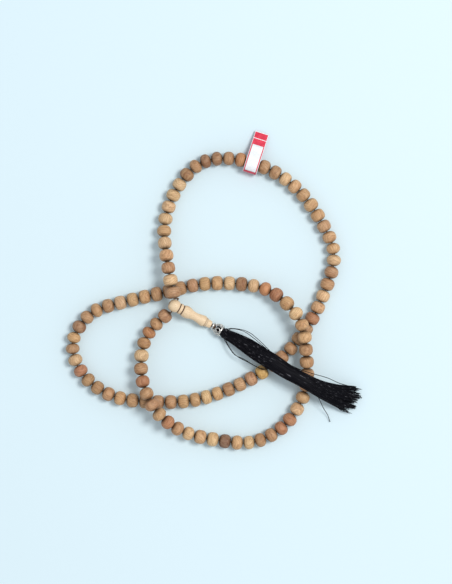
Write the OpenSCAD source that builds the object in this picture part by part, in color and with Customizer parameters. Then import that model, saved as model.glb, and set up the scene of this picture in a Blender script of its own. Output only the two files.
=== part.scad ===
// Misbaha: a closed strand of turned wooden beads lying in a loose figure of
// crossing loops, joined by an imam bead with a filigree cap and a silk
// tassel, with a folded paper tag round the strand.
// Millimetres, +Z up, standing on Z = 0, centred on its own outline.

/* [Strand] */
// Number of turned beads between the two holes of the imam bead
bead_count = 108; // [108:1:108]
// Diameter of a middling bead
bead_d = 8.4; // [8:0.1:8.4]
// How much a bead's diameter differs from the middling one
bead_d_spread = 0.15; // [0:0.01:0.15]
// Bore through each bead
bead_bore_d = 2.4; // [2.2:0.1:2.6]
// Space between neighbouring beads along the cord
bead_gap = 0.34; // [0.3:0.02:0.6]
// Fullness of the barrel outline on a straight stretch, 2 is an ellipse
bead_fullness = 3; // [2.2:0.1:3]
// Fullness that a bead loses for each degree that the strand bends at it
bead_ease = 0.05; // [0.04:0.01:0.08]
// Diameter of the threading cord
cord_d = 1; // [0.6:0.1:1.2]

/* [Imam bead] */
// Length of the imam bead from its round head to its tail
imam_len = 28.5; // [27:0.5:30]
// Bore across the head for the two ends of the strand
imam_cross_d = 2.2; // [1.8:0.1:2.4]
// Bore along the imam bead for the tail of the cord
imam_bore_d = 2.4; // [2:0.1:2.6]

/* [Cap and tassel] */
// Length of the filigree cap
cap_len = 6.5; // [6:0.1:7]
// Diameter of the cap's open rim
cap_rim_d = 7.2; // [6.8:0.1:7.6]
// Wall of the filigree cap
cap_wall = 0.4; // [0.3:0.05:0.5]
// Openings in each row of the filigree
cap_windows = 8; // [6:1:10]
// Number of sides of the tassel's outline
tassel_sides = 16; // [12:2:24]

/* [Tag] */
// Width of the folded strip
tag_w = 8.4; // [7:0.1:9]
// Thickness of the strip
tag_t = 0.3; // [0.2:0.05:0.35]
// Width of the writing label
label_w = 6.6; // [5:0.1:7]
// Thickness of the writing label
label_t = 0.15; // [0.1:0.05:0.2]

/* [Hidden] */
// Each point is the gap after every third bead, from the imam bead round the
// top loop, the left loop, the inner loop and back to the imam bead.
rest_z = 4.4;
// Centres the outline of the whole strand on the origin
lay_shift = [-0.83, -0.24, 0];
route = [
    [-23, -5, 13.5], [-27, 17, 11.8], [-29, 39, 5.4], [-22, 60, 4.4],
    [-7.5, 76, 4.4], [13, 78.5, 5], [34, 72, 4.8], [51.5, 59.5, 4.4],
    [64.5, 41.5, 4.4], [72.5, 21.5, 4.4], [67, 0, 4.4], [57.5, -20, 4.4],
    [44, -37.5, 4.4], [26, -51, 4.4], [6, -60.5, 4.4], [-14, -66, 4.4],
    [-36.5, -66.5, 4.4], [-59, -63.5, 4.4], [-77, -51, 4.4],
    [-84, -31.5, 4.4], [-72.5, -13.5, 4.4], [-51.5, -6.5, 4.4],
    [-30, -1.5, 4.4], [-8.5, 3.5, 4.4], [13.5, 4, 4.4], [34.5, -0.5, 7.4],
    [51.5, -17, 13.5], [55.5, -39, 10.4], [55, -60.5, 4.6],
    [43.5, -80, 4.4], [25, -90.5, 4.4], [3.5, -89.5, 4.4],
    [-18, -84, 7], [-34, -71, 13.4], [-42.5, -50.5, 10],
    [-40, -28, 5.8], [-26, -13, 8.6]
];
last_leg = len(route) - 2;

function spline(a, b, c, d, t) = 0.5 * (2 * b + (c - a) * t
    + (2 * a - 5 * b + 4 * c - d) * t * t
    + (3 * b - a - 3 * c + d) * t * t * t);
function route_at(k) = k < 0 ? 2 * route[0] - route[1]
    : k > last_leg + 1 ? 2 * route[last_leg + 1] - route[last_leg]
    : route[k];
// The gap after bead i, with the beads' own weight keeping it off the floor
function gap_point(i) =
    let (leg = min(floor(i / 3), last_leg), t = i / 3 - leg,
         p = spline(route_at(leg - 1), route_at(leg), route_at(leg + 1),
                    route_at(leg + 2), t))
    [p.x, p.y, max(p.z, rest_z)];

// One bead's own difference in size, from -1 to 1
function wobble(i) = sin(i * 137.5) * cos(i * 71);
// The two beads that lie across others at the crossings are the widest
wide_beads = [1, 100];
extra_r = 0.5;
function bead_r(i) = bead_d / 2 + bead_d_spread * wobble(i)
    + (len(search(i, wide_beads)) > 0 ? extra_r : 0);
slack_bead = 38;
slack = 1;
function bead_len(i) = norm(gap_point(i) - gap_point(i - 1)) - bead_gap
    - (i == slack_bead ? slack : 0);

// How far the strand bends at the gap after bead i, in degrees
function chord(i) = unit(gap_point(i) - gap_point(i - 1));
function bend(i) = i < 1 || i >= bead_count ? 0
    : acos(min(1, chord(i) * chord(i + 1)));
function fullness(i) =
    max(2.2, bead_fullness - bead_ease * max(bend(i - 1), bend(i)));

tag_bead = 17;
spin_step = 3;
first_spin = 2;
stretch_len = 9;
stretches = bead_count / stretch_len;
function two(i) = str(i < 10 ? "0" : "", i);
function three(i) = str(i < 100 ? "0" : "", two(i));
function bead_name(i) = str("bead_", three(i));
function stretch_name(k) = str("beads_stretch_", two(k));

// ---- Placing ----

module laid() {
    translate(lay_shift)
        children();
}

// Turns +Z along the direction d, which starts at p
module along(p, d) {
    translate(p)
        rotate([0, acos(d.z / norm(d)), atan2(d.y, d.x)])
            children();
}

// ---- Beads ----

// Half of the barrel outline, from the bore to the widest part and back
module barrel_outline(r, length, full) {
    half = length / 2;
    steps = 7;
    mouth = bead_bore_d / 2 + 0.25;
    function out(z) = r * pow(1 - pow(abs(z) / half, full), 1 / full);
    flat = pow(1 - pow(mouth / r, full), 1 / full);
    polygon(concat(
        [[bead_bore_d / 2, half * flat], [bead_bore_d / 2, -half * flat]],
        [for (k = [-steps : steps])
            let (z = half * flat * sin(90 * k / steps)) [out(z), z]]));
}

module bead(i) {
    a = gap_point(i - 1);
    b = gap_point(i);
    laid()
        along((a + b) / 2, b - a)
            rotate_extrude($fn = 48)
                barrel_outline(bead_r(i), bead_len(i), fullness(i));
}

module spinning_bead(i) {
    color("peru")
        bead(i);
}

// The beads of one stretch that are left between its spinning ones
module stretch(k) {
    color("burlywood")
        for (i = [stretch_len * (k - 1) + 1 : stretch_len * k])
            if ((i - first_spin) % spin_step != 0)
                bead(i);
}

// ---- Swept soft pieces ----

function unit(v) = v / norm(v);
// Direction of a row of points at one of them
function heading(pts, i) =
    unit(pts[min(i + 1, len(pts) - 1)] - pts[max(i - 1, 0)]);

// A closed tube through pts, w wide and h high at each point
module swept(pts, w, h, sides) {
    n = len(pts);
    ring = [for (i = [0 : n - 1])
        let (t = heading(pts, i), side = unit(cross([0, 0, 1], t)),
             up = cross(t, side))
        for (s = [0 : sides - 1])
            let (a = 360 * (s + 0.5) / sides)
            pts[i] + side * cos(a) * w[i] / 2 + up * sin(a) * h[i] / 2];
    walls = [for (i = [0 : n - 2], s = [0 : sides - 1])
        let (a = i * sides + s, b = i * sides + (s + 1) % sides)
        each [[a, a + sides, b], [b, a + sides, b + sides]]];
    first = [for (s = [0 : sides - 1]) s];
    last = [for (s = [sides - 1 : -1 : 0]) (n - 1) * sides + s];
    polyhedron(concat(ring), concat(walls, [first, last]));
}

// ---- Imam bead and its line ----

// The imam bead's axis, from the tip of its round head to the end of its tail
imam_tip = [-25.8, -7.6, 10.8];
imam_dir = unit([25.6, -13.6, -7.4]);
// How far down from the tip the strand crosses the head
cross_at = 3.6;
head_centre = imam_tip + cross_at * imam_dir;
cross_dir = unit(cross([0, 0, 1], imam_dir));
function on_imam(s) = imam_tip + s * imam_dir;

// Each point is a distance from the tip of the head and a radius there
imam_turning = [
    [0, 1.2], [0.3, 2.1], [0.9, 2.9], [1.9, 3.5], [3.2, 3.78], [4.3, 3.75],
    [5.4, 3.45], [6.1, 3.1], [6.4, 2.75], [6.7, 3.05], [7.6, 3.2],
    [8.5, 3.05], [8.8, 2.7], [9.1, 3.05], [10.3, 3.55], [11.8, 3.7],
    [13.4, 3.45], [14.8, 2.95], [16.1, 2.65], [17.6, 2.5], [19.2, 2.6],
    [21, 2.95], [22.6, 3.25], [23.6, 3.3], [24.2, 3.1], [24.5, 2.65],
    [25, 2.9], [25.4, 2.65], [26.2, 2.45], [27.6, 2.35], [28.5, 2.15]
];
turned_len = 28.5;

module imam_bead() {
    scale_len = imam_len / turned_len;
    color("wheat")
        laid()
            difference() {
                along(imam_tip, imam_dir)
                    rotate_extrude($fn = 64)
                        polygon(concat([[0, 0]],
                            [for (p = imam_turning) [p[1], p[0] * scale_len]],
                            [[0, imam_len]]));
                along(head_centre, imam_dir)
                    cylinder(d = imam_bore_d, h = imam_len, $fn = 32);
                along(head_centre - 6 * cross_dir, cross_dir)
                    cylinder(d = imam_cross_d, h = 12, $fn = 32);
            }
}

// The cord's points: the far side of the head, each gap, the near side
module cord() {
    mouth = 4.9;
    pts = concat(
        [head_centre + mouth * cross_dir],
        [for (i = [0 : bead_count]) gap_point(i)],
        [head_centre - mouth * cross_dir,
         head_centre + (mouth - 0.6 - cord_d) * cross_dir]);
    size = [for (p = pts) cord_d];
    color("saddlebrown")
        laid()
            swept(pts, size, size, 8);
}

// ---- Line from the imam bead to the tassel ----

tail_start = cross_at + 1.3;
knot_r = 1.5;
knot_at = imam_len + knot_r + 0.5;
knot = on_imam(knot_at);

module tail_cord() {
    pts = [on_imam(tail_start), on_imam(knot_at - knot_r - 0.05)];
    size = [for (p = pts) 1.5];
    color("saddlebrown")
        laid()
            swept(pts, size, size, 8);
}

module tail_knot() {
    color("saddlebrown")
        laid()
            along(on_imam(knot_at - knot_r), imam_dir)
                translate([0, 0, knot_r])
                    rotate_extrude($fn = 32)
                        intersection() {
                            circle(r = knot_r, $fn = 32);
                            translate([0, -knot_r])
                                square([knot_r, 2 * knot_r]);
                        }
}

tassel_dir = unit([26, -16, 3]);
cap_start = 0.6;
function on_tassel(s) = knot + s * tassel_dir;

module filigree_cap() {
    r1 = 2.1;
    r2 = cap_rim_d / 2;
    crown = 0.5;
    window_d = 1.35;
    color("silver")
        laid()
            difference() {
                along(on_tassel(-cap_start), tassel_dir)
                    rotate_extrude($fn = 64)
                        polygon([[r1 - cap_wall, 0], [r1, 0], [2.9, 1.8],
                            [r2 - 0.1, 4.2], [r2, cap_len],
                            [r2 - cap_wall, cap_len],
                            [r2 - 0.1 - cap_wall, 4.2],
                            [2.9 - cap_wall, 1.9], [r1 - cap_wall, crown]]);
                for (row = [0 : 1], k = [0 : cap_windows - 1])
                    along(on_tassel(2.2 + 2.1 * row - cap_start), tassel_dir)
                        rotate([90, 0, 360 * (k + row / 2) / cap_windows])
                            cylinder(d = window_d, h = 8, $fn = 24);
            }
}

module tassel_head() {
    color("black")
        laid()
            along(on_tassel(knot_r + 0.6), tassel_dir)
                cylinder(r1 = 1.9, r2 = 2.6, h = 5, $fn = 32);
}

module tassel_binding() {
    color("black")
        laid()
            along(on_tassel(knot_r + 5.6), tassel_dir)
                rotate_extrude($fn = 48)
                    polygon([[0, 0], [2.9, 0], [3.2, 0.4], [3.2, 1.2],
                        [2.9, 1.6], [0, 1.6]]);
}

// Each row is a point on the tassel's middle, its width and its height
tassel_rows = [
    [13.5, -29, 5.2, 7.8, 5.6], [21, -33.5, 7.2, 10.4, 5.6],
    [28.5, -38.5, 10.2, 11.4, 5], [36, -43, 12.3, 11.2, 4.4],
    [43.5, -48, 12.8, 10.4, 4.2], [51, -52, 13.5, 10, 4.2],
    [58.5, -56, 13.4, 10.8, 4.2], [66, -59.8, 11, 12.8, 4.4],
    [73.5, -63, 7, 15, 5], [80, -65.4, 3.8, 17.4, 5.4],
    [86.5, -67.8, 2.8, 18.6, 5]
];

module tassel_skirt() {
    pts = concat([on_tassel(knot_r + 8)],
                 [for (r = tassel_rows) [r[0], r[1], r[2]]]);
    w = concat([5.8], [for (r = tassel_rows) r[3]]);
    h = concat([5.4], [for (r = tassel_rows) r[4]]);
    color("black")
        laid()
            swept(pts, w, h, tassel_sides);
}

// ---- Tag ----

// The strip's outline seen along the strand: y runs out from the loop
loop_r = (gap_point(tag_bead - 1).z + gap_point(tag_bead).z) / 2;
loop_back = -1.5;
loop_front = 1.6;
flag_join = [8.6, -0.3];
flag_end = [19.2, -3.4];

function arc(r, from, to, steps) =
    [for (k = [0 : steps])
        let (a = from + (to - from) * k / steps)
        [loop_back + r * cos(a), r * sin(a)]];

// Moves the tag's outline onto its bead
module on_tag_bead(width) {
    a = gap_point(tag_bead - 1);
    b = gap_point(tag_bead);
    turn = atan2(b.y - a.y, b.x - a.x);
    mid = (a + b) / 2;
    laid()
        translate([mid.x, mid.y, loop_r])
            rotate([0, 0, turn])
                rotate([90, 0, 90])
                    translate([0, 0, -width / 2])
                        linear_extrude(width)
                            children();
}

module tag_strip() {
    in_r = loop_r - tag_t;
    rise = [0, tag_t];
    color("firebrick")
        on_tag_bead(tag_w)
            difference() {
                polygon(concat(arc(loop_r, 270, 90, 16), [[loop_front, loop_r]],
                    [flag_join + rise, flag_end + rise, flag_end - rise,
                     flag_join - rise, [loop_front, -loop_r]]));
                polygon(concat(arc(in_r, 270, 90, 16), [[loop_front, in_r]],
                    [flag_join - [0.8, 0]], [[loop_front, -in_r]]));
            }
}

module tag_label() {
    lift = 0.02;
    in_r = loop_r + lift;
    rise = [0, tag_t + lift];
    slope = (flag_end - flag_join) / (flag_end.x - flag_join.x);
    end = flag_join + 2.4 * slope;
    thick = [0, label_t];
    color("white")
        on_tag_bead(label_w)
            polygon(concat(arc(in_r, 140, 90, 6), [[loop_front, in_r]],
                [flag_join + rise, end + rise, end + rise + thick,
                 flag_join + rise + thick, [loop_front, in_r + label_t]],
                arc(in_r + label_t, 90, 140, 6)));
}

// ---- Nodes ----

cord();
imam_bead();
tail_cord();
tail_knot();
filigree_cap();
tassel_head();
tassel_binding();
tassel_skirt();
tag_strip();
tag_label();
for (i = [first_spin : spin_step : bead_count])
    spinning_bead(i);
for (k = [1 : stretches])
    stretch(k);
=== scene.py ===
import math
import random

import bmesh
import bpy
from mathutils import Matrix, Vector


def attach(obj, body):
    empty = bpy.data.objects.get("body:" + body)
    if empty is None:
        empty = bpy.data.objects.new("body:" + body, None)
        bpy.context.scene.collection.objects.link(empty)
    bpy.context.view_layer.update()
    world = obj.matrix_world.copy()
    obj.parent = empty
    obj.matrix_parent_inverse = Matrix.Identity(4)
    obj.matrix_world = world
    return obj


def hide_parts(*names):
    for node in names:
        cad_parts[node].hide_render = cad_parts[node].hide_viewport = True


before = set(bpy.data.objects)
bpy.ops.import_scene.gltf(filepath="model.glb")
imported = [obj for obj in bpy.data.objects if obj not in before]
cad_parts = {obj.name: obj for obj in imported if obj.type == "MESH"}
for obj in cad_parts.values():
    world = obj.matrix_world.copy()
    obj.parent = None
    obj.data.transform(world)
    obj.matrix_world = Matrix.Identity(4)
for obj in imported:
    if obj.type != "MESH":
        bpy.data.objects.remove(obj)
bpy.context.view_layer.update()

# ---------------------------------------------------------------------------
# Camera, floor and light
# The strand lies on a pale blue card and is seen straight from above, in the
# soft light of one big window on the right.
# ---------------------------------------------------------------------------
MM = 0.001
SENSOR = 36
CAMERA_HEIGHT = 1.1
# Height of the patch of card in view, and its middle
FIELD_H = 350 * MM
LOOK_AT = Vector((6.97 * MM, -1.26 * MM, 0))
CARD = (0.635, 0.765, 0.83, 1)
CARD_HALF = 3.0
CARD_DROP = 0.05 * MM
WINDOW_PLACE = Vector((0.95, 0.35, 1.9))
WINDOW_SIZE = 0.75
WINDOW_WATTS = 31
WINDOW_LIGHT = (1, 0.985, 0.955)
ROOM_LIGHT = (0.93, 0.97, 1, 1)
ROOM_STRENGTH = 0.68

scene = bpy.context.scene
scene.view_settings.view_transform = "Standard"

camera = bpy.data.objects.new("camera", bpy.data.cameras.new("camera"))
scene.collection.objects.link(camera)
camera.data.sensor_fit = "VERTICAL"
camera.data.sensor_height = SENSOR
camera.data.sensor_width = SENSOR
camera.data.lens = SENSOR * CAMERA_HEIGHT / FIELD_H
camera.location = LOOK_AT + Vector((0, 0, CAMERA_HEIGHT))
camera.data.clip_start = 0.05
camera.data.clip_end = 20
scene.camera = camera


def make_material(name, base, rough=0.5):
    """A material with its shader, and what adds and links nodes to it."""
    mat = bpy.data.materials.new(name)
    mat.use_nodes = True
    tree = mat.node_tree
    shader = tree.nodes["Principled BSDF"]
    shader.inputs["Base Color"].default_value = base
    shader.inputs["Roughness"].default_value = rough

    def add(kind, **values):
        node = tree.nodes.new("ShaderNode" + kind)
        for key, value in values.items():
            if hasattr(node, key) and key not in node.inputs:
                setattr(node, key, value)
            else:
                node.inputs[key].default_value = value
        return node

    def link(out, into):
        tree.links.new(out, into)

    return mat, shader, add, link


def bumped(shader, add, link, height, strength, distance):
    """Gives a material fine relief, from the output that holds its height."""
    bump = add("Bump", Strength=strength, Distance=distance)
    link(height, bump.inputs["Height"])
    link(bump.outputs["Normal"], shader.inputs["Normal"])


def mesh_object(name, verts, faces, material, smooth=True):
    """A mesh object of one material, from points and faces in metres."""
    mesh = bpy.data.meshes.new(name)
    mesh.from_pydata([tuple(v) for v in verts], [], faces)
    mesh.update()
    if smooth:
        mesh.polygons.foreach_set("use_smooth", [True] * len(mesh.polygons))
    obj = bpy.data.objects.new(name, mesh)
    scene.collection.objects.link(obj)
    mesh.materials.append(material)
    return obj


card, card_shader, add, link = make_material("pale_card", CARD, 0.9)
card_shader.inputs["Specular IOR Level"].default_value = 0.1
card_noise = add("TexNoise", Scale=700, Detail=3)
bumped(card_shader, add, link, card_noise.outputs["Fac"], 0.05, 0.2 * MM)
corners = [(x * CARD_HALF, y * CARD_HALF, 0)
           for x, y in ((-1, -1), (1, -1), (1, 1), (-1, 1))]
floor = mesh_object("floor", corners, [(0, 1, 2, 3)], card)
floor.location.z = -CARD_DROP

window = bpy.data.objects.new("window", bpy.data.lights.new("window", "AREA"))
scene.collection.objects.link(window)
window.data.shape = "DISK"
window.data.size = WINDOW_SIZE
window.data.energy = WINDOW_WATTS
window.data.color = WINDOW_LIGHT
window.location = WINDOW_PLACE
window.rotation_mode = "QUATERNION"
window.rotation_quaternion = (-WINDOW_PLACE).to_track_quat("-Z", "Y")
room = bpy.data.worlds.new("room")
scene.world = room
room.use_nodes = True
room_light = room.node_tree.nodes["Background"]
room_light.inputs["Color"].default_value = ROOM_LIGHT
room_light.inputs["Strength"].default_value = ROOM_STRENGTH

# ---------------------------------------------------------------------------
# Threading cord
# One brown waxed thread, of two twisted plies. It goes in at one side of the
# imam bead's head, through every bead of the loops, and in at the other side.
# ---------------------------------------------------------------------------
BEAD_COUNT = 108
REST_Z = 4.4
SHIFT = Vector((-0.83, -0.24, 0))
# The gap after every third bead, in millimetres, as the part has it
ROUTE = [Vector(p) for p in (
    (-23, -5, 13.5), (-27, 17, 11.8), (-29, 39, 5.4), (-22, 60, 4.4),
    (-7.5, 76, 4.4), (13, 78.5, 5), (34, 72, 4.8), (51.5, 59.5, 4.4),
    (64.5, 41.5, 4.4), (72.5, 21.5, 4.4), (67, 0, 4.4), (57.5, -20, 4.4),
    (44, -37.5, 4.4), (26, -51, 4.4), (6, -60.5, 4.4), (-14, -66, 4.4),
    (-36.5, -66.5, 4.4), (-59, -63.5, 4.4), (-77, -51, 4.4),
    (-84, -31.5, 4.4), (-72.5, -13.5, 4.4), (-51.5, -6.5, 4.4),
    (-30, -1.5, 4.4), (-8.5, 3.5, 4.4), (13.5, 4, 4.4), (34.5, -0.5, 7.4),
    (51.5, -17, 13.5), (55.5, -39, 10.4), (55, -60.5, 4.6),
    (43.5, -80, 4.4), (25, -90.5, 4.4), (3.5, -89.5, 4.4),
    (-18, -84, 7), (-34, -71, 13.4), (-42.5, -50.5, 10),
    (-40, -28, 5.8), (-26, -13, 8.6))]


def spline(a, b, c, d, t):
    """The smooth curve from b to c, at t from 0 to 1; a and d lie beyond."""
    return 0.5 * (2 * b + (c - a) * t + (2 * a - 5 * b + 4 * c - d) * t * t
                  + (3 * b - a - 3 * c + d) * t ** 3)


def gap_point(i):
    """The gap after bead i, in metres."""
    leg = min(i // 3, len(ROUTE) - 2)
    ends = [2 * ROUTE[0] - ROUTE[1], *ROUTE, 2 * ROUTE[-1] - ROUTE[-2]]
    point = spline(*ends[leg:leg + 4], i / 3 - leg)
    point.z = max(point.z, REST_Z)
    return (point + SHIFT) * MM


GAPS = [gap_point(i) for i in range(BEAD_COUNT + 1)]

CORD_R = 0.5 * MM
CORD_STEP = 0.4 * MM
PLIES = 2
PLY_R = 0.58 * CORD_R
PLY_TURN = 2.4 * MM
# How far from the middle of the head the cord ends, and where it leaves
CORD_END = 2.5 * MM
CORD_EXIT = 4.9 * MM
HEAD_TIP = (Vector((-25.8, -7.6, 10.8)) + SHIFT) * MM
IMAM_DIR = Vector((25.6, -13.6, -7.4)).normalized()
CROSS_AT = 3.6 * MM
HEAD = HEAD_TIP + CROSS_AT * IMAM_DIR
CROSS_DIR = Vector((0, 0, 1)).cross(IMAM_DIR).normalized()


def side_frame(direction):
    """Two directions square to this one, the first as level as can be."""
    level = Vector((0, 0, 1)).cross(direction)
    level = level.normalized() if level.length > 1e-6 else Vector((1, 0, 0))
    return level, direction.cross(level).normalized()


def headings(points):
    """The way a line of points runs at each of them."""
    return [(points[min(i + 1, len(points) - 1)]
             - points[max(i - 1, 0)]).normalized()
            for i in range(len(points))]


def even_steps(points, step):
    """Points every step along the lines between these."""
    found = [points[0]]
    for a, b in zip(points, points[1:]):
        count = max(1, round((b - a).length / step))
        found += [a.lerp(b, k / count) for k in range(1, count + 1)]
    return found


def wire_object(name, lines, radius, material, cyclic=False, sides=2):
    """A curve object with one round wire along each line of points.

    Each point may carry its own thickness as a fourth number."""
    data = bpy.data.curves.new(name, "CURVE")
    data.dimensions = "3D"
    data.bevel_depth = radius
    data.bevel_resolution = sides
    data.use_fill_caps = True
    for line in lines:
        wire = data.splines.new("POLY")
        wire.points.add(len(line) - 1)
        wire.use_cyclic_u = cyclic
        wire.use_smooth = True
        for point, place in zip(wire.points, line):
            point.co = (place[0], place[1], place[2], 1)
            point.radius = place[3] if len(place) > 3 else 1
    obj = bpy.data.objects.new(name, data)
    scene.collection.objects.link(obj)
    data.materials.append(material)
    return obj


def ramp(node, stops):
    """Sets a colour ramp's stops from (place, grey or colour) pairs."""
    elements = node.color_ramp.elements
    while len(elements) < len(stops):
        elements.new(0.5)
    for element, (place, colour) in zip(elements, stops):
        if not isinstance(colour, tuple):
            colour = (colour, colour, colour, 1)
        element.position = place
        element.color = colour


def mottled(shader, add, link, scale, detail, stops):
    """Makes a colour drift between these stops with fine noise, and gives
    that noise."""
    place = add("TexCoord")
    noise = add("TexNoise", Scale=scale, Detail=detail)
    tint = add("ValToRGB")
    ramp(tint, stops)
    link(place.outputs["Object"], noise.inputs["Vector"])
    link(noise.outputs["Fac"], tint.inputs["Fac"])
    link(tint.outputs["Color"], shader.inputs["Base Color"])
    return noise


cord_line = even_steps(
    [HEAD + CORD_END * CROSS_DIR, HEAD + CORD_EXIT * CROSS_DIR, *GAPS,
     HEAD - CORD_EXIT * CROSS_DIR, HEAD - CORD_END * CROSS_DIR], CORD_STEP)
waxed, waxed_shader, add, link = make_material(
    "waxed_thread", (0.09, 0.045, 0.022, 1), 0.55)
mottled(waxed_shader, add, link, 1800, 4,
        [(0.3, (0.05, 0.024, 0.012, 1)), (0.7, (0.15, 0.08, 0.04, 1))])
plies = []
for ply in range(PLIES):
    line, run = [], 0
    for i, (point, heading) in enumerate(zip(cord_line, headings(cord_line))):
        run += (point - cord_line[i - 1]).length if i else 0
        turn = 2 * math.pi * (run / PLY_TURN + ply / PLIES)
        level, up = side_frame(heading)
        line.append(point + (CORD_R - PLY_R) * (level * math.cos(turn)
                                                + up * math.sin(turn)))
    plies.append(line)
threading = wire_object("threading_cord", plies, PLY_R, waxed, sides=1)
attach(threading, "strand")
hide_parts("cord")

# ---------------------------------------------------------------------------
# Turned beads
# Small barrels of olive wood, turned one by one, so no two are quite alike in
# length, girth or tone. The wood is close grained, honey to brown, and the
# ends round the bore are painted darker, as shade in the gaps between beads.
# ---------------------------------------------------------------------------
BEAD_D = 8.4 * MM
BEAD_SPREAD = 0.15 * MM
# Two beads stand out as thicker than the rest, by this much in radius
WIDE_BEADS = {1: 0.5 * MM, 100: 0.5 * MM}
# How full a barrel is, how much of that it loses for each degree that the
# strand bends beside it, and the least it keeps
FULLNESS = 3.0
EASE = 0.05
LEAST_FULL = 2.2
BEAD_GAP = 0.34 * MM
# Where a barrel's outline stops, as a share of its half length
FACE_AT = 0.985
# The bore: how deep it is drawn and where its mouth starts and ends, as
# shares of the half length, then how wide the mouth and the end face are
# for its radius
BORE_R = 1.05 * MM
BORE_DEPTH = 0.5
MOUTH_IN = 0.97
MOUTH_OUT = 0.995
MOUTH_WIDTH = 1.15
FACE_WIDTH = 1.35
SLACK_BEAD = 38
SLACK = 1.0 * MM
SIDES = 40
RINGS = 17
BEAD_SEED = 7000
# A turn to any side, in radians
ANY_TURN = 6.28
# How far along the wood's pattern a bead may lie, in millimetres
WOOD_REACH = 40
# How far a bead's grain is turned from its bore, in radians: along it, a
# little off, nearly across and across
CUTS = (0, 0.25, 1.35, 1.57)

# One letter a bead, from the imam bead round the loops: p pale, h honey,
# t tan, y yellow, o orange, r russet, b brown, d dark.
TONES = (
    "tpthphppp" "pbtbbtott" "tphhhhhhh" "pttphrttt"
    "ttyththph" "htttthttt" "rpthbthtp" "hhtttthhp"
    "bporhphht" "ttthprrtt" "phdphptrh" "ttrtptott")
# Linear colour and how strong its dark figure is
WOODS = {
    "p": ((0.62, 0.425, 0.25), 0.35), "h": ((0.535, 0.34, 0.185), 0.45),
    "t": ((0.44, 0.265, 0.145), 0.5), "o": ((0.48, 0.24, 0.12), 0.5),
    "r": ((0.41, 0.205, 0.112), 0.6), "b": ((0.36, 0.215, 0.12), 0.75),
    "d": ((0.25, 0.15, 0.10), 0.8), "y": ((0.60, 0.39, 0.155), 0.45)}


def wobble(i):
    """A number from -1 to 1 that jumps about from bead to bead."""
    return math.sin(math.radians(i * 137.5)) * math.cos(math.radians(i * 71))


def bead_size(i):
    """Radius and length of bead i."""
    length = (GAPS[i] - GAPS[i - 1]).length - BEAD_GAP
    if i == SLACK_BEAD:
        length -= SLACK
    radius = BEAD_D / 2 + BEAD_SPREAD * wobble(i) + WIDE_BEADS.get(i, 0)
    return radius, length


def bend(i):
    """How far the strand bends at the gap after bead i, in degrees."""
    if not 0 < i < BEAD_COUNT:
        return 0
    return math.degrees((GAPS[i] - GAPS[i - 1]).angle(GAPS[i + 1] - GAPS[i]))


def bead_outline(i, rng):
    """(distance from the middle, radius) pairs from end to end."""
    radius, length = bead_size(i)
    fullness = max(LEAST_FULL, FULLNESS - EASE * max(bend(i - 1), bend(i)))
    fullness += rng.uniform(-0.2, 0.05)
    lean = rng.uniform(-0.05, 0.05)
    line = []
    for k in range(RINGS):
        z = math.sin(math.pi / 2 * (2 * k / (RINGS - 1) - 1))
        full = (1 - abs(z * FACE_AT) ** fullness) ** (1 / fullness)
        r = radius * full * (1 + lean * z * (1 - abs(z)))
        line.append((z * length / 2 * FACE_AT, max(r, BORE_R * FACE_WIDTH)))
    half = length / 2
    bore = [(half * BORE_DEPTH, BORE_R), (half * MOUTH_IN, BORE_R),
            (half * MOUTH_OUT, BORE_R * MOUTH_WIDTH)]
    return [(-z, r) for z, r in bore] + line + bore[::-1]


def tube_faces(rings, sides):
    """The faces between rings of points, ring by ring."""
    return [(k * sides + s, k * sides + (s + 1) % sides,
             (k + 1) * sides + (s + 1) % sides, (k + 1) * sides + s)
            for k in range(rings - 1) for s in range(sides)]


def bead_parts(i):
    """One bead's points, faces and, for each point, its wood's colour, its
    place in the wood and how near an end it is."""
    rng = random.Random(BEAD_SEED + i)
    a, b = GAPS[i - 1], GAPS[i]
    axis = (b - a).normalized()
    level, up = side_frame(axis)
    middle = (a + b) / 2
    length = (b - a).length
    outline = bead_outline(i, rng)
    grain = Matrix.Rotation(rng.uniform(0, ANY_TURN), 3, "X")
    grain = grain @ Matrix.Rotation(
        rng.choice(CUTS) + rng.uniform(-0.2, 0.2), 3, "Z")
    place = Vector([rng.uniform(-WOOD_REACH, WOOD_REACH) for _ in range(3)])
    (red, green, blue), figure = WOODS[TONES[i - 1]]
    shade = rng.uniform(0.93, 1.07)
    colour = (red * shade, green * shade * rng.uniform(0.97, 1.03),
              blue * shade * rng.uniform(0.94, 1.06), figure)
    oval = rng.uniform(0, 0.012)
    start = rng.uniform(0, math.pi)
    verts, colours, woods = [], [], []
    for z, r in outline:
        for s in range(SIDES):
            turn = 2 * math.pi * s / SIDES
            girth = r * (1 - oval * (1 + math.cos(2 * (turn - start))) / 2)
            own = Vector((z, girth * math.cos(turn), girth * math.sin(turn)))
            verts.append(middle + own.x * axis + own.y * level + own.z * up)
            colours.append(colour)
            woods.append((*(grain @ (own / MM) + place),
                          min(1, abs(z) / (length / 2))))
    return verts, tube_faces(len(outline), SIDES), colours, woods


olive, olive_shader, add, link = make_material(
    "olive_wood", (0.5, 0.3, 0.15, 1), 0.5)
wood_colour = add("Attribute", attribute_name="wood_colour")
wood_place = add("Attribute", attribute_name="wood_place")
bead_end = add("Attribute", attribute_name="bead_end")
# Growth rings: bands across the wood, bent by slow noise
drift = add("TexNoise", Scale=0.22, Detail=2)
drift_scale = add("VectorMath", operation="SCALE", Scale=5.0)
bent = add("VectorMath", operation="ADD")
link(wood_place.outputs["Vector"], drift.inputs["Vector"])
link(drift.outputs["Color"], drift_scale.inputs[0])
link(wood_place.outputs["Vector"], bent.inputs[0])
link(drift_scale.outputs["Vector"], bent.inputs[1])
rings = add("TexWave", Scale=0.24, Distortion=1.2, Detail=2,
            wave_type="BANDS", bands_direction="Y", wave_profile="SAW")
rings.inputs["Detail Scale"].default_value = 0.8
link(bent.outputs["Vector"], rings.inputs["Vector"])
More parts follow.
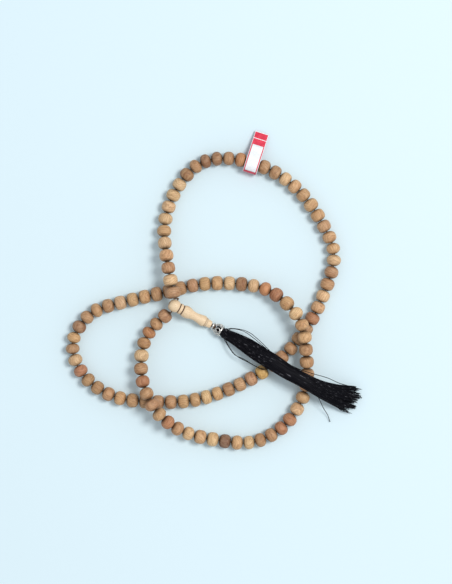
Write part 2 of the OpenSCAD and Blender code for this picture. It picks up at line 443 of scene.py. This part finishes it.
# Fibres: noise drawn out along the grain
stretch = add("Mapping")
stretch.inputs["Scale"].default_value = (0.5, 5.0, 5.0)
fibres = add("TexNoise", Scale=1.1, Detail=5, Roughness=0.6)
link(wood_place.outputs["Vector"], stretch.inputs["Vector"])
link(stretch.outputs["Vector"], fibres.inputs["Vector"])
# Dark figure: broad smoky patches and thin lines
patch_map = add("Mapping")
patch_map.inputs["Scale"].default_value = (0.12, 0.35, 0.35)
patches = add("TexNoise", Scale=1.0, Detail=3, Distortion=1.2)
link(wood_place.outputs["Vector"], patch_map.inputs["Vector"])
link(patch_map.outputs["Vector"], patches.inputs["Vector"])
patch_ramp = add("ValToRGB")
ramp(patch_ramp, [(0.42, 0.0), (0.66, 1.0)])
link(patches.outputs["Fac"], patch_ramp.inputs["Fac"])
patch_amount = add("Math", operation="MULTIPLY")
link(patch_ramp.outputs["Color"], patch_amount.inputs[0])
link(wood_colour.outputs["Alpha"], patch_amount.inputs[1])

ring_tint = add("ValToRGB")
ramp(ring_tint, [(0.0, (1.2, 1.16, 1.1, 1)), (0.6, (1.0, 0.97, 0.93, 1)),
                 (1.0, (0.66, 0.56, 0.48, 1))])
link(rings.outputs["Fac"], ring_tint.inputs["Fac"])
fibre_tint = add("ValToRGB")
ramp(fibre_tint, [(0.3, (0.74, 0.70, 0.66, 1)), (0.52, (1.0, 1.0, 1.0, 1)),
                  (0.72, (1.18, 1.16, 1.12, 1))])
link(fibres.outputs["Fac"], fibre_tint.inputs["Fac"])


def mixed(add, link, kind, factor, first, second):
    """A colour mix of two sockets or fixed colours."""
    node = add("Mix", data_type="RGBA", blend_type=kind)
    sockets = {found.name: found for found in node.inputs if found.enabled}
    for name, value in (("Factor", factor), ("A", first), ("B", second)):
        if isinstance(value, bpy.types.NodeSocket):
            link(value, sockets[name])
        else:
            sockets[name].default_value = value
    return next(out for out in node.outputs if out.enabled)


toned = mixed(add, link, "MULTIPLY", 0.75, wood_colour.outputs["Color"],
              ring_tint.outputs["Color"])
toned = mixed(add, link, "MULTIPLY", 0.9, toned, fibre_tint.outputs["Color"])
toned = mixed(add, link, "MULTIPLY", patch_amount.outputs["Value"], toned,
              (0.60, 0.42, 0.30, 1))
# Painted shade: darker wood next to the bore, where one bead meets the next
gap_shade_ramp = add("ValToRGB")
ramp(gap_shade_ramp, [(0.58, 1.0), (0.83, 0.62), (0.95, 0.12)])
link(bead_end.outputs["Fac"], gap_shade_ramp.inputs["Fac"])
toned = mixed(add, link, "MULTIPLY", 1.0, toned, gap_shade_ramp.outputs["Color"])
link(toned, olive_shader.inputs["Base Color"])
shine = add("MapRange")
shine.inputs["To Min"].default_value = 0.42
shine.inputs["To Max"].default_value = 0.66
link(fibres.outputs["Fac"], shine.inputs["Value"])
link(shine.outputs["Result"], olive_shader.inputs["Roughness"])
olive_shader.inputs["Specular IOR Level"].default_value = 0.35
bumped(olive_shader, add, link, fibres.outputs["Fac"], 0.25, 0.08 * MM)


def bead_object(name, numbers):
    """One piece holding these beads."""
    verts, faces, colours, woods = [], [], [], []
    for i in numbers:
        v, f, c, w = bead_parts(i)
        faces += [tuple(k + len(verts) for k in face) for face in f]
        verts += v
        colours += c
        woods += w
    obj = mesh_object(name, verts, faces, olive)
    data = obj.data.attributes
    layer = data.new("wood_colour", "FLOAT_COLOR", "POINT")
    layer.data.foreach_set("color", [x for c in colours for x in c])
    layer = data.new("wood_place", "FLOAT_VECTOR", "POINT")
    layer.data.foreach_set("vector", [x for w in woods for x in w[:3]])
    layer = data.new("bead_end", "FLOAT", "POINT")
    layer.data.foreach_set("value", [w[3] for w in woods])
    return obj


# Every third bead is a piece of its own, and the other six of each nine
# are one piece
FIRST_SPIN = 2
SPIN_STEP = 3
STRETCH = 9
for i in range(FIRST_SPIN, BEAD_COUNT + 1, SPIN_STEP):
    one = bead_object(f"turned_bead_{i:03d}", [i])
    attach(one, f"bead_{i:03d}")
    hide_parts(f"bead_{i:03d}")
for k in range(1, BEAD_COUNT // STRETCH + 1):
    run = range(STRETCH * (k - 1) + 1, STRETCH * k + 1)
    still = [i for i in run if (i - FIRST_SPIN) % SPIN_STEP]
    some = bead_object(f"turned_beads_{k:02d}", still)
    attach(some, "strand")
    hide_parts(f"beads_stretch_{k:02d}")

# ---------------------------------------------------------------------------
# Imam bead
# One long piece of pale boxwood, turned between centres: a round head, two
# thin rings burnt in with a wire, a swelling, a long waist and a flared foot.
# The head is bored across for the strand and the whole piece along its axis.
# ---------------------------------------------------------------------------
IMAM_SIDES = 72
TURNING_STEPS = 4
SHARP_EDGE = math.radians(40)
DRILL_SIDES = 32
CROSS_R = 1.1 * MM
CROSS_DRILL = 12 * MM
AXIAL_R = 1.2 * MM
AXIAL_DRILL = 30 * MM
# Distance from the tip of the head and radius, in millimetres
IMAM_TURNING = (
    (0, 1.2), (0.3, 2.1), (0.9, 2.9), (1.9, 3.5), (3.2, 3.78), (4.3, 3.75),
    (5.4, 3.45), (6.1, 3.1), (6.4, 2.75), (6.7, 3.05), (7.6, 3.2),
    (8.5, 3.05), (8.8, 2.7), (9.1, 3.05), (10.3, 3.55), (11.8, 3.7),
    (13.4, 3.45), (14.8, 2.95), (16.1, 2.65), (17.6, 2.5), (19.2, 2.6),
    (21, 2.95), (22.6, 3.25), (23.6, 3.3), (24.2, 3.1), (24.5, 2.65),
    (25, 2.9), (25.4, 2.65), (26.2, 2.45), (27.6, 2.35), (28.5, 2.15))
IMAM_LEN = IMAM_TURNING[-1][0]
# The grooves: two burnt black, two only scorched
BURNT_RINGS = (6.4, 8.8)
FAINT_RINGS = (24.5, 25.4)
BURN_HALF = 0.42
BURN_FULL = 1.8
FAINT_BURN = 0.5
# Painted shade in the bores: how dark the wall is, and how far out it reaches
BORE_SHADE = 0.6
BORE_WALL = 1.25


def smooth_turning(points, sharp, steps):
    """More points on the outline, rounded everywhere but at the cuts."""
    line = []
    for k in range(len(points) - 1):
        before = points[max(k - 1, 0)]
        after = points[min(k + 2, len(points) - 1)]
        a, b = points[k], points[k + 1]
        if a[0] in sharp:
            before = a
        if b[0] in sharp:
            after = b
        for step in range(steps):
            t = step / steps
            r = spline(before[1], a[1], b[1], after[1], t)
            line.append((a[0] + (b[0] - a[0]) * t, r))
    return line + [points[-1]]


def closed_tube_faces(rings, sides):
    """The faces between rings of points, and one across each end."""
    count = rings * sides
    return tube_faces(rings, sides) + [
        tuple(range(sides - 1, -1, -1)), tuple(range(count - sides, count))]


def lathe_object(name, outline, sides, start, axis, material):
    """A closed turned solid, from (distance, radius) pairs in metres."""
    level, up = side_frame(axis)
    verts = []
    for z, r in outline:
        for s in range(sides):
            turn = 2 * math.pi * s / sides
            verts.append(start + z * axis + r * (math.cos(turn) * level
                                                 + math.sin(turn) * up))
    return mesh_object(name, verts, closed_tube_faces(len(outline), sides),
                       material)


def bored(obj, start, axis, radius, length):
    """Cuts a round bore out of a piece, from start along axis."""
    drill = lathe_object("drill", [(0, radius), (length, radius)],
                         DRILL_SIDES, start, axis, obj.data.materials[0])
    cut = obj.modifiers.new("bore", "BOOLEAN")
    cut.object = drill
    cut.solver = "EXACT"
    with bpy.context.temp_override(object=obj, active_object=obj):
        bpy.ops.object.modifier_apply(modifier="bore")
    bpy.data.objects.remove(drill)


boxwood, box_shader, add, link = make_material(
    "boxwood", (0.72, 0.52, 0.33, 1), 0.5)
box_place = add("Attribute", attribute_name="along_imam")
box_stretch = add("Mapping")
box_stretch.inputs["Scale"].default_value = (0.35, 2.6, 2.6)
box_grain = add("TexNoise", Scale=1.3, Detail=5, Roughness=0.6)
link(box_place.outputs["Vector"], box_stretch.inputs["Vector"])
link(box_stretch.outputs["Vector"], box_grain.inputs["Vector"])
box_ramp = add("ValToRGB")
ramp(box_ramp, [(0.3, (0.58, 0.41, 0.25, 1)), (0.5, (0.74, 0.56, 0.37, 1)),
                (0.7, (0.82, 0.65, 0.45, 1))])
link(box_grain.outputs["Fac"], box_ramp.inputs["Fac"])
burn_and_shade_attribute = add("Attribute", attribute_name="burn_and_bore_shade")
burn_and_bore_shade = mixed(add, link, "MIX", burn_and_shade_attribute.outputs["Fac"],
              box_ramp.outputs["Color"], (0.055, 0.016, 0.012, 1))
link(burn_and_bore_shade, box_shader.inputs["Base Color"])
box_shader.inputs["Specular IOR Level"].default_value = 0.35
bumped(box_shader, add, link, box_grain.outputs["Fac"], 0.2, 0.08 * MM)

turning = [(z * MM, r * MM) for z, r in smooth_turning(
    IMAM_TURNING, BURNT_RINGS + FAINT_RINGS, TURNING_STEPS)]
imam = lathe_object("turned_imam_bead", turning, IMAM_SIDES, HEAD_TIP,
                    IMAM_DIR, boxwood)
bored(imam, HEAD, IMAM_DIR, AXIAL_R, AXIAL_DRILL)
bored(imam, HEAD - CROSS_DRILL / 2 * CROSS_DIR, CROSS_DIR, CROSS_R,
      CROSS_DRILL)
# Both layers are made before either is read, as making one moves the other
imam.data.attributes.new("along_imam", "FLOAT_VECTOR", "POINT")
imam.data.attributes.new("burn_and_bore_shade", "FLOAT", "POINT")
along_layer = imam.data.attributes["along_imam"]
burn_and_shade_layer = imam.data.attributes["burn_and_bore_shade"]
imam_level, imam_up = side_frame(IMAM_DIR)
for vert in imam.data.vertices:
    own = (vert.co - HEAD_TIP) / MM
    s = own.dot(IMAM_DIR)
    r = (own - s * IMAM_DIR).length
    along_layer.data[vert.index].vector = (
        s, own.dot(imam_level), own.dot(imam_up))
    near = min(abs(s - ring) for ring in BURNT_RINGS)
    faint = min(abs(s - ring) for ring in FAINT_RINGS)
    depth = max(0, min(1, BURN_FULL * (1 - near / BURN_HALF)),
                FAINT_BURN * (1 - faint / BURN_HALF))
    # Painted shade on the bore's wall, where no burnt ring is darker
    burn_and_shade_layer.data[vert.index].value = max(
        depth, BORE_SHADE if r < BORE_WALL else 0)
imam.data.set_sharp_from_angle(angle=SHARP_EDGE)
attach(imam, "imam")
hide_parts("imam_bead")

# ---------------------------------------------------------------------------
# Tail of the cord and its stop knot
# Both ends of the strand run down the imam bead and are knotted below it, so
# that the knot carries the cap and the tassel. Only a little of it shows.
# ---------------------------------------------------------------------------
KNOT_R = 1.5
KNOT_ROOM = 0.5
KNOT = HEAD_TIP + (IMAM_LEN + KNOT_R + KNOT_ROOM) * MM * IMAM_DIR


def dress(names, material):
    """Gives this material to pieces that stay as the part has them."""
    for name in names:
        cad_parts[name].data.materials.clear()
        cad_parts[name].data.materials.append(material)


dress(("tail_cord", "tail_knot"), waxed)

# ---------------------------------------------------------------------------
# Filigree cap
# Silvered wire soldered into curls, C scrolls and rings on a round frame,
# open between them, with a plain ring at each end.
# ---------------------------------------------------------------------------
TASSEL_DIR = Vector((26, -16, 3)).normalized()
CAP_START = 0.6
CAP_LEN = 6.5
# The cap's radius at its neck, how much it opens and how soon and roundly
CAP_NECK_R = 1.95
CAP_OPENS = 1.5
CAP_HASTE = 1.25
CAP_ROUNDNESS = 1.1
CAP_SECTORS = 4
FIRST_SECTOR = 0.1
WIRE_R = 0.24 * MM
RING_WIRE_R = WIRE_R * 1.15
RING_POINTS = 64
# Each plain ring's place and how far it stands out, in millimetres
CAP_RINGS = ((0.25, 0), (0.75, 0.05), (5.9, 0), (6.3, 0.06))
LOW_RING_AT = 4.3
LOW_RING_R = 1.25
LOW_RING_POINTS = 24
CURL_STEPS = 30
CURL_CLOSES = 0.8
GRANULE_R = 0.3 * MM
tassel_level, tassel_up = side_frame(TASSEL_DIR)


def on_tassel(s, r=0.0, turn=0.0):
    """A point s millimetres below the knot, r out and round at turn."""
    return KNOT + MM * (s * TASSEL_DIR + r * (
        math.cos(turn) * tassel_level + math.sin(turn) * tassel_up))


def cap_radius(s):
    """The cap's radius at s from its narrow end: a bell."""
    t = min(max(s / CAP_LEN, 0), 1)
    open_by = math.sin(math.pi / 2 * min(1, t * CAP_HASTE)) ** CAP_ROUNDNESS
    return CAP_NECK_R + CAP_OPENS * open_by


def on_cap(s, turn):
    """A point on the cap, s from its narrow end and round at turn."""
    return on_tassel(s - CAP_START, cap_radius(s), turn)


def cap_ring(s, swell):
    """A plain ring round the cap, standing out by swell."""
    return [on_tassel(s - CAP_START, cap_radius(s) + swell,
                      2 * math.pi * k / RING_POINTS)
            for k in range(RING_POINTS)]


def low_ring(turn):
    """A full ring of wire lying on the cap's side, low down."""
    line = []
    for k in range(LOW_RING_POINTS + 1):
        angle = 2 * math.pi * k / LOW_RING_POINTS
        line.append(on_cap(
            LOW_RING_AT + LOW_RING_R * math.sin(angle),
            turn + LOW_RING_R * math.cos(angle) / cap_radius(LOW_RING_AT)))
    return line


def scroll(s, turn, width, height, turns, way):
    """A curl of wire on the cap, wound in to its middle."""
    line = []
    for k in range(CURL_STEPS + 1):
        t = k / CURL_STEPS
        reach = 1 - CURL_CLOSES * t
        angle = way * (math.pi / 2 + 2 * math.pi * turns * t)
        line.append(on_cap(s + height * reach * math.sin(angle),
                           turn + width * reach * math.cos(angle)
                           / cap_radius(s)))
    return line


silver, silver_shader, add, link = make_material(
    "old_silver", (0.80, 0.79, 0.75, 1), 0.28)
silver_shader.inputs["Metallic"].default_value = 1.0
silver_noise = mottled(
    silver_shader, add, link, 900, 4,
    [(0.35, (0.50, 0.49, 0.46, 1)), (0.6, (0.93, 0.92, 0.89, 1))])
silver_rough = add("MapRange")
silver_rough.inputs["To Min"].default_value = 0.2
silver_rough.inputs["To Max"].default_value = 0.45
link(silver_noise.outputs["Fac"], silver_rough.inputs["Value"])
link(silver_rough.outputs["Result"], silver_shader.inputs["Roughness"])

scrolls, granules = [], []
for k in range(CAP_SECTORS):
    turn = 2 * math.pi * (k + FIRST_SECTOR) / CAP_SECTORS
    between = turn + math.pi / CAP_SECTORS
    # A ring low on the cap, and two curls over each gap between rings
    scrolls.append(low_ring(turn))
    scrolls.append(scroll(2.2, between, width=1.05, height=0.95, turns=0.95,
                          way=1))
    scrolls.append(scroll(4.9, between, width=0.75, height=0.75, turns=0.8,
                          way=-1))
    granules.append(on_cap(2.5, turn))
    granules.append(on_cap(3.4, between))
cap_wires = wire_object("filigree_scrolls", scrolls, WIRE_R, silver)
cap_rings = wire_object(
    "filigree_rings", [cap_ring(s, swell) for s, swell in CAP_RINGS],
    RING_WIRE_R, silver, cyclic=True)
ball = bmesh.new()
for place in granules:
    bmesh.ops.create_icosphere(ball, subdivisions=2, radius=GRANULE_R,
                               matrix=Matrix.Translation(place))
cap_grains = mesh_object("filigree_granules", [], [], silver)
ball.to_mesh(cap_grains.data)
ball.free()
cap_grains.data.polygons.foreach_set(
    "use_smooth", [True] * len(cap_grains.data.polygons))
for piece in (cap_wires, cap_rings, cap_grains):
    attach(piece, "cap")
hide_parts("filigree_cap")

# ---------------------------------------------------------------------------
# Tassel
# A hank of black silk, doubled over at the top, whipped round and cut rough
# at the end. It narrows where it crosses the strand and fans into clumps of
# thread at its fringe. A few threads have sprung loose beside it.
# ---------------------------------------------------------------------------
# Middle, width and height of the hank, in millimetres, as the part has them
TASSEL_ROWS = (
    (13.5, -29, 5.2, 7.8, 5.6), (21, -33.5, 7.2, 10.4, 5.6),
    (28.5, -38.5, 10.2, 11.4, 5), (36, -43, 12.3, 11.2, 4.4),
    (43.5, -48, 12.8, 10.4, 4.2), (51, -52, 13.5, 10, 4.2),
    (58.5, -56, 13.4, 10.8, 4.2), (66, -59.8, 11, 12.8, 4.4),
    (73.5, -63, 7, 15, 5), (80, -65.4, 3.8, 17.4, 5.4),
    (86.5, -67.8, 2.8, 18.6, 5))
# The rows at the neck: place below the knot, width and height
NECK_ROWS = ((6.3, 5.0, 5.0), (9.5, 6.4, 5.8))
THREADS = 520
THREAD_R = 0.21 * MM
STEPS = 26
# How thin a thread is at its cut end, as a share of the rest
TIP = 0.45
CLUMPS = 30
HANK_SEED = 41
# The share of the hank's width and height that its threads keep to
FILL_ACROSS, FILL_ABOVE = 0.94, 0.9
# Threads draw together into clumps from this far down, and this strongly
GATHER_AT, GATHER, GATHER_ABOVE = 0.62, 0.86, 0.7
# The fringe leans out from this far down, and by this much
FAN_AT, FAN = 0.7, 0.17
WAVES = 9
# The share of threads that are cut short of the rest
CUT_SHORT = 0.08

silk, silk_shader, add, link = make_material(
    "black_silk", (0.004, 0.004, 0.006, 1), 0.5)
silk_shader.inputs["Specular IOR Level"].default_value = 0.07
# Painted highlights: thin pale streaks along the hank, as glints on the silk
silk_place = add("TexCoord")
glint_streak_map = add("Mapping")
glint_streak_map.vector_type = "TEXTURE"
glint_streak_map.inputs["Rotation"].default_value = (0, 0, math.radians(-31))
glint_streak_map.inputs["Scale"].default_value = (0.007, 0.0006, 0.0006)
silk_glint_noise = add("TexNoise", Scale=1, Detail=2)
silk_and_glint_ramp = add("ValToRGB")
ramp(silk_and_glint_ramp, [(0.4, (0.002, 0.002, 0.004, 1)),
                 (0.65, (0.008, 0.008, 0.011, 1)),
                 (0.71, (0.12, 0.12, 0.135, 1))])
link(silk_place.outputs["Object"], glint_streak_map.inputs["Vector"])
link(glint_streak_map.outputs["Vector"], silk_glint_noise.inputs["Vector"])
link(silk_glint_noise.outputs["Fac"], silk_and_glint_ramp.inputs["Fac"])
link(silk_and_glint_ramp.outputs["Color"], silk_shader.inputs["Base Color"])

rows = [(on_tassel(s), width * MM, height * MM)
        for s, width, height in NECK_ROWS]
rows += [((Vector((x, y, z)) + SHIFT) * MM, width * MM, height * MM)
         for x, y, z, width, height in TASSEL_ROWS]


def hank(t, across, above):
    """A point of the hank at t from 0 at the neck to 1 at the fringe, with
    across and above from -1 to 1 over its width and height."""
    at = min(max(t, 0), 1.0) * (len(rows) - 1)
    k = min(int(at), len(rows) - 2)
    pick = [rows[min(max(k + d, 0), len(rows) - 1)] for d in (-1, 0, 1, 2)]
    part = at - k
    middle = spline(*[p[0] for p in pick], part)
    width, height = (spline(*[p[j] for p in pick], part) for j in (1, 2))
    heading = (rows[k + 1][0] - rows[k][0]).normalized()
    level, up = side_frame(heading)
    return middle + level * across * width / 2 + up * above * height / 2


rng = random.Random(HANK_SEED)


def disc():
    """A point in the unit disc."""
    r, turn = math.sqrt(rng.random()), rng.uniform(0, 2 * math.pi)
    return r * math.cos(turn), r * math.sin(turn)


clumps = []
for k in range(CLUMPS):
    across = -1 + 2 * (k + 0.5) / CLUMPS + rng.uniform(-0.05, 0.05)
    clumps.append((across, rng.uniform(-0.7, 0.5),
                   rng.uniform(0.95, 1.02) - 0.03 * abs(across)))
threads = []
for k in range(THREADS):
    a0, b0 = disc()
    a1, b1 = disc()
    a1 = 0.6 * a0 + 0.4 * a1
    clump = min(clumps, key=lambda c: abs(c[0] - a1) + rng.uniform(0, 0.12))
    last = clump[2] + rng.uniform(-0.06, 0.015)
    if rng.random() < CUT_SHORT:
        last -= rng.uniform(0.02, 0.12)
    wave, phase = rng.uniform(0, 0.05), rng.uniform(0, ANY_TURN)
    line = []
    for step in range(STEPS + 1):
        t = last * step / STEPS
        drift_over = t * t * (3 - 2 * t)
        pull = GATHER * max(0, (t - GATHER_AT) / (1 - GATHER_AT)) ** 1.2
        across = a0 + (a1 - a0) * drift_over
        across += (clump[0] - across) * pull
        across += wave * math.sin(phase + WAVES * t)
        across += FAN * max(0, (t - FAN_AT) / (1 - FAN_AT)) * (1 + across)
        above = b0 + (b1 - b0) * drift_over
        above += (clump[1] - above) * pull * GATHER_ABOVE
        size = 1 if step < STEPS else TIP
        line.append((*hank(t, FILL_ACROSS * across, FILL_ABOVE * above), size))
    threads.append(line)
skirt = wire_object("tassel_threads", threads, THREAD_R, silk, sides=1)
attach(skirt, "tassel")
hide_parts("tassel_skirt")

# The middle of the hank, where the threads are packed too close to see into
CORE_SIDES = 24
CORE_RINGS = 30
CORE_TAPER = 7
CORE_END = 0.8
CORE_FILL = 0.82
verts = []
for k in range(CORE_RINGS + 1):
    left = (CORE_RINGS - k + 1) / (CORE_TAPER + 1)
    room = CORE_FILL * min(1, left)
    for s in range(CORE_SIDES):
        turn = 2 * math.pi * s / CORE_SIDES
        verts.append(hank(CORE_END * k / CORE_RINGS, room * math.cos(turn),
                          room * math.sin(turn)))
core = mesh_object("tassel_core", verts,
                   closed_tube_faces(CORE_RINGS + 1, CORE_SIDES), silk)
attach(core, "tassel")


def loose(points):
    """A sprung thread through these places, in millimetres over the floor,
    rising and falling a little on the way, and thicker where it frays."""
    line = [(Vector(p) + SHIFT) * MM for p in points]
    ends = [2 * line[0] - line[1], *line, 2 * line[-1] - line[-2]]
    found = []
    for k in range(len(line) - 1):
        for step in range(LOOSE_STEPS):
            part = step / LOOSE_STEPS
            p = spline(*ends[k:k + 4], part)
            rise = math.sin(math.pi * (k + part) / (len(line) - 1))
            found.append((p.x, p.y, p.z + LOOSE_RISE * rise, 1))
    return found + [(*line[-1], FRAYED)]


LOOSE_R = 0.2 * MM
LOOSE_STEPS = 8
LOOSE_RISE = 0.8 * MM
# How thick a frayed end is, as a share of the rest
FRAYED = 1.9
LOOSE = (
    ((6.5, -25, 4.2), (10, -22.8, 5.2), (17, -23.4, 7.5), (22, -25.3, 8),
     (26, -28.4, 9), (29.5, -31.6, 10.5), (33.5, -35.6, 12)),
    ((7, -25.4, 4.6), (11, -23, 5), (18, -24.3, 7), (24, -28.2, 8.5),
     (31.5, -34.5, 11.5)),
    ((7.5, -25.8, 3.8), (6.7, -28.8, 4), (9.3, -33.6, 4.5), (13, -38.4, 5),
     (18.8, -41.2, 6), (25.3, -45.1, 8), (31, -46.8, 11), (34.5, -45, 11.8)),
    ((8.5, -26.4, 3.8), (7.6, -29.6, 3.6), (11, -35.8, 3.8), (14.8, -39.6, 4),
     (21, -42.9, 5.5), (29.5, -47, 9), (33.5, -45.5, 11.5)),
    ((47, -44.8, 14), (52.5, -47.2, 14.5), (60, -49.6, 13), (68, -52, 10),
     (75.5, -55.4, 7), (84, -57.8, 4)),
    ((61, -60, 12), (63.5, -65.3, 8), (66, -70.4, 4), (68.6, -74.6, 1.5),
     (70, -78.6, 0.7)),
    ((70, -64.5, 7.5), (76, -71.4, 3), (81, -73, 1)),
    ((76, -57.5, 7), (84, -60, 3), (89, -64.5, 1)))
sprung = wire_object("loose_threads", [loose(points) for points in LOOSE],
                     LOOSE_R, silk, sides=1)
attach(sprung, "tassel")

# Whipping: one thread wound close round the neck
WINDS = 7
WIND_POINTS = 24
WHIP_R = 0.19 * MM
WHIP_AT = KNOT_R + 5.75
WHIP_LEN = 1.3
NECK_R = 2.75
NECK_SWELL = 0.25
coil = []
for k in range(WINDS * WIND_POINTS + 1):
    t = k / (WINDS * WIND_POINTS)
    coil.append(on_tassel(WHIP_AT + WHIP_LEN * t,
                          NECK_R + NECK_SWELL * math.sin(math.pi * t),
                          2 * math.pi * WINDS * t))
whipping = wire_object("whipping", [coil], WHIP_R, silk)
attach(whipping, "tassel")
dress(("tassel_head", "tassel_binding"), silk)

# ---------------------------------------------------------------------------
# Tag
# A strip of red coated paper folded round the strand and stuck to itself,
# white at its cut edges, with a white writing label across the fold.
# ---------------------------------------------------------------------------
TAG_BEAD = 17
TAG_W = 8.4
TAG_T = 0.3
LABEL_W = 6.6
LABEL_T = 0.15
LABEL_ON_FLAG = 2.4
# The sheets and the label, a little thinner than the room they have, so
# that no two faces meet
OVER_T, UNDER_T, STUCK_T = TAG_T * 0.95, TAG_T * 0.9, LABEL_T * 0.9
# Places across a strip, from edge to edge, with a margin at each side
COLUMNS = (-1, -0.93, -0.6, -0.3, 0, 0.3, 0.6, 0.93, 1)
# Shares of the flag's length: the red leaves two white bands, between the
# first two of these and between the last two
FLAG_STOPS = (0.565, 0.6, 0.95, 1)
FOLD_STEPS = 12
LABEL_FOLD_STEPS = 10
LABEL_FROM = 140
LOOP_BACK, LOOP_FRONT = -1.5, 1.6
FLAG_JOIN, FLAG_END = Vector((8.6, -0.3)), Vector((19.2, -3.4))
tag_a, tag_b = GAPS[TAG_BEAD - 1], GAPS[TAG_BEAD]
tag_middle = (tag_a + tag_b) / 2
tag_along = tag_b - tag_a
tag_along.z = 0
tag_along.normalize()
tag_out = Vector((0, 0, 1)).cross(tag_along)
LOOP_R = tag_middle.z / MM


def tag_arc(r, start, end, steps):
    """Points of the fold, from one angle to another in degrees."""
    found = []
    for k in range(steps + 1):
        turn = math.radians(start + (end - start) * k / steps)
        found.append(Vector((LOOP_BACK + r * math.cos(turn),
                             r * math.sin(turn))))
    return found


def strip_object(name, line, width, thickness, material, edge, bare=()):
    """A strip that follows line, with its margins, its cut edges and the
    bare spans of the line in the edge material."""
    across_steps = len(COLUMNS) - 1
    verts, faces = [], []
    for side in (0, 1):
        for k, point in enumerate(line):
            run = line[min(k + 1, len(line) - 1)] - line[max(k - 1, 0)]
            out = Vector((-run.y, run.x)).normalized()
            for u in COLUMNS:
                at = point - out * thickness * side
                verts.append(tag_middle + MM * (
                    at.x * tag_out + u * width / 2 * tag_along)
                    + Vector((0, 0, at.y * MM)))

    def index(side, k, s):
        return (side * len(line) + k) * len(COLUMNS) + s

    for k in range(len(line) - 1):
        for s in range(across_steps):
            faces.append((index(0, k, s), index(0, k, s + 1),
                          index(0, k + 1, s + 1), index(0, k + 1, s)))
            faces.append((index(1, k, s), index(1, k + 1, s),
                          index(1, k + 1, s + 1), index(1, k, s + 1)))
    plain = len(faces)
    printed = [k not in bare and 0 < s < across_steps - 1
               for k in range(len(line) - 1) for s in range(across_steps)
               for _ in (0, 1)]
    for k in range(len(line) - 1):
        for s in (0, across_steps):
            faces.append((index(0, k, s), index(0, k + 1, s),
                          index(1, k + 1, s), index(1, k, s)))
    for k in (0, len(line) - 1):
        for s in range(across_steps):
            faces.append((index(0, k, s), index(0, k, s + 1),
                          index(1, k, s + 1), index(1, k, s)))
    obj = mesh_object(name, verts, faces, material, smooth=False)
    obj.data.materials.append(edge)
    for number, face in enumerate(obj.data.polygons):
        face.material_index = int(number >= plain or not printed[number])
        face.use_smooth = number < plain
    turned = bmesh.new()
    turned.from_mesh(obj.data)
    bmesh.ops.recalc_face_normals(turned, faces=turned.faces)
    turned.to_mesh(obj.data)
    turned.free()
    return obj


red, red_shader, add, link = make_material(
    "red_paper", (0.66, 0.02, 0.06, 1), 0.4)
red_noise = mottled(
    red_shader, add, link, 500, 4,
    [(0.35, (0.56, 0.012, 0.045, 1)), (0.65, (0.72, 0.03, 0.075, 1))])
bumped(red_shader, add, link, red_noise.outputs["Fac"], 0.15, 0.1 * MM)
paper, paper_shader, add, link = make_material(
    "white_paper", (0.80, 0.81, 0.84, 1), 0.75)
paper_noise = mottled(
    paper_shader, add, link, 900, 5,
    [(0.3, (0.74, 0.75, 0.79, 1)), (0.7, (0.85, 0.86, 0.88, 1))])
bumped(paper_shader, add, link, paper_noise.outputs["Fac"], 0.2, 0.05 * MM)


def eased(a, b, steps):
    """Points from a to b, leaving level and arriving level."""
    return [Vector((a.x + (b.x - a.x) * k / steps,
                    a.y + (b.y - a.y) * (k / steps) ** 2
                    * (3 - 2 * k / steps))) for k in range(steps + 1)]


over = (tag_arc(LOOP_R, 180, 90, FOLD_STEPS)
        + eased(Vector((LOOP_FRONT, LOOP_R)),
                FLAG_JOIN + Vector((0, TAG_T)), FOLD_STEPS)
        + [FLAG_JOIN.lerp(FLAG_END, part) + Vector((0, TAG_T))
           for part in FLAG_STOPS])
WHITE_SPANS = (len(over) - 4, len(over) - 2)
under = ([FLAG_END, FLAG_JOIN]
         + eased(FLAG_JOIN, Vector((LOOP_FRONT, TAG_T - LOOP_R)),
                 FOLD_STEPS)[1:]
         + tag_arc(LOOP_R - TAG_T, 270, 180, FOLD_STEPS)[1:])
strip = strip_object("tag_strip_upper", over, TAG_W, OVER_T, red, paper,
                     WHITE_SPANS)
lower = strip_object("tag_strip_lower", under[::-1], TAG_W, UNDER_T, red,
                     paper)
for piece in (strip, lower):
    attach(piece, "tag")
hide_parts("tag_strip")

# The label: a thin white sticker over the top of the fold
LABEL_UP = Vector((0, TAG_T + LABEL_T))
sticker = (tag_arc(LOOP_R + LABEL_T, LABEL_FROM, 90, LABEL_FOLD_STEPS)
           + eased(Vector((LOOP_FRONT, LOOP_R + LABEL_T)),
                   FLAG_JOIN + LABEL_UP, FOLD_STEPS)
           + [FLAG_JOIN + (FLAG_END - FLAG_JOIN).normalized() * LABEL_ON_FLAG
              + LABEL_UP])
label = strip_object("writing_label", sticker, LABEL_W, STUCK_T, paper, paper)
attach(label, "tag")
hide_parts("tag_label")
